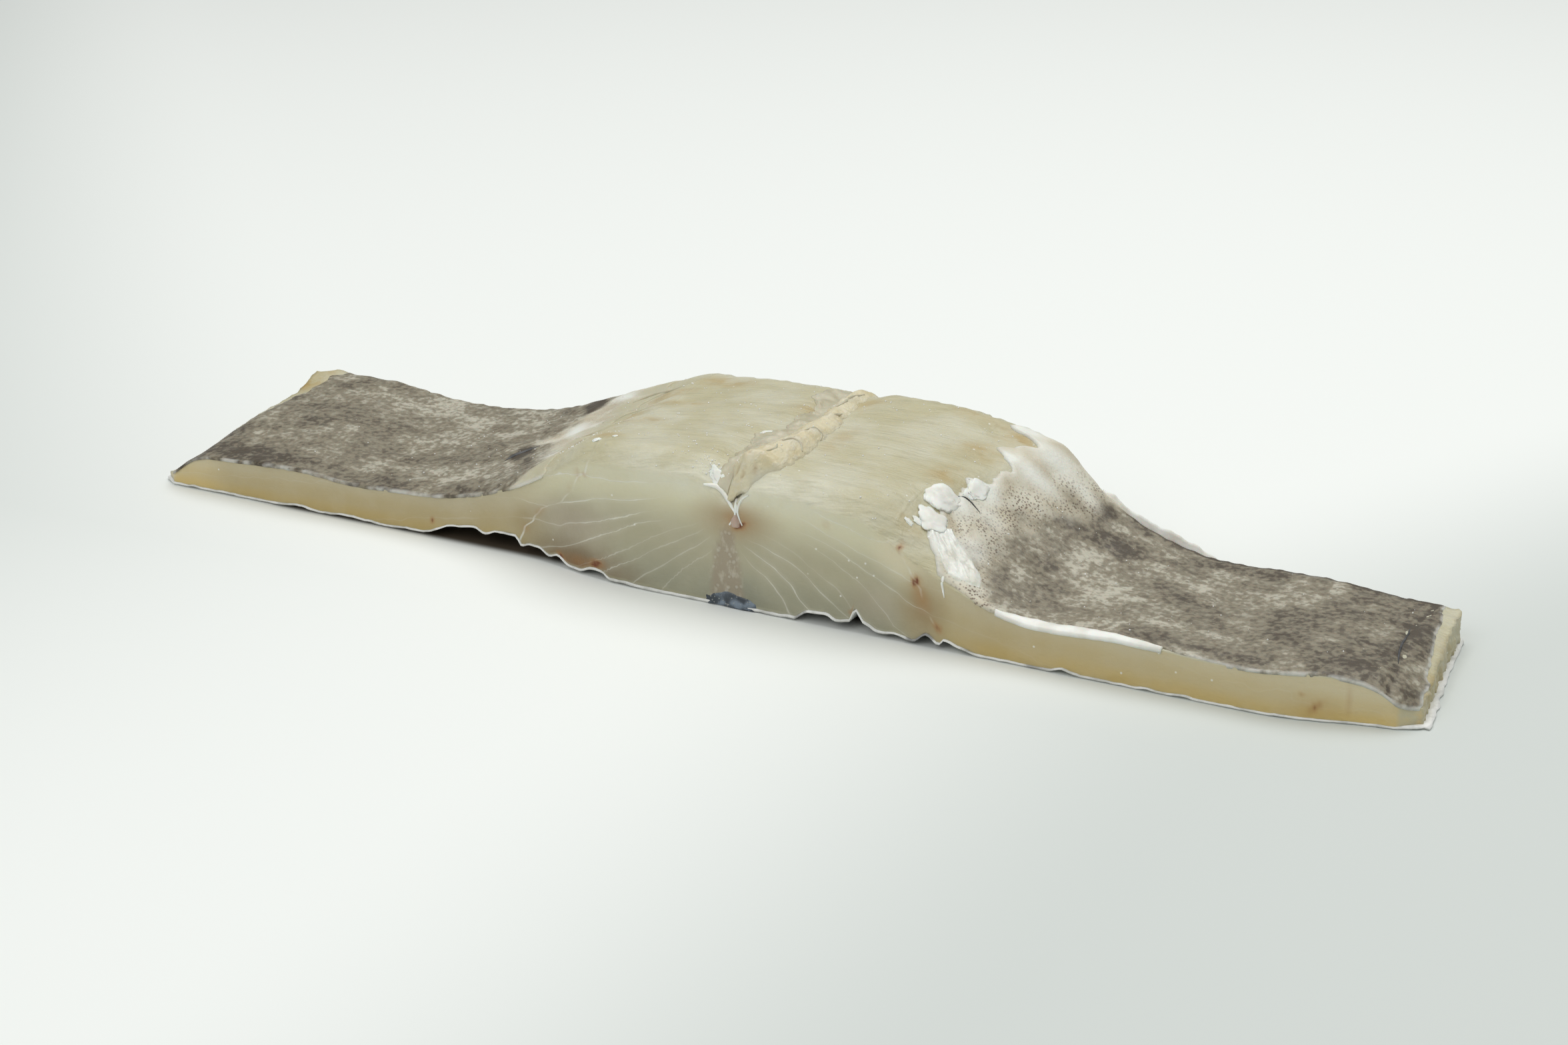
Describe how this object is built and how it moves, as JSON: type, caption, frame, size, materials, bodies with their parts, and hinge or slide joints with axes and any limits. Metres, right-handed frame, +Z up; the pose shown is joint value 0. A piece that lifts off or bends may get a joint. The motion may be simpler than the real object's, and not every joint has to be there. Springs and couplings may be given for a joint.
{
  "type": "salted dried cod piece",
  "caption": "Crosswise strip of split, salted and dried cod: a thick double loin in the middle, a thin belly flap on each side, skin underneath.",
  "frame": {"origin": "middle of the strip's footprint, on the surface that it lies on, skin side down", "axes": "+X along the strip from the left belly flap to the right one as seen from the front cut; +Y from the front cut face to the back one; +Z up, from the skin to the inside of the fish"},
  "size_m": [0.38, 0.0838, 0.0395],
  "materials": {
    "flesh": "moist, half translucent cream flesh, satin",
    "skin": "dull grey fish skin with a pale inner side",
    "lining": "mottled grey belly lining, satin",
    "membrane": "whitish wet membrane and connective tissue",
    "spine_bed": "pinkish cream tissue left by the backbone, satin",
    "salt": "small white salt crystals"
  },
  "bodies": {
    "root": {"cod_strip": "flesh"}
  },
  "joints": []
}
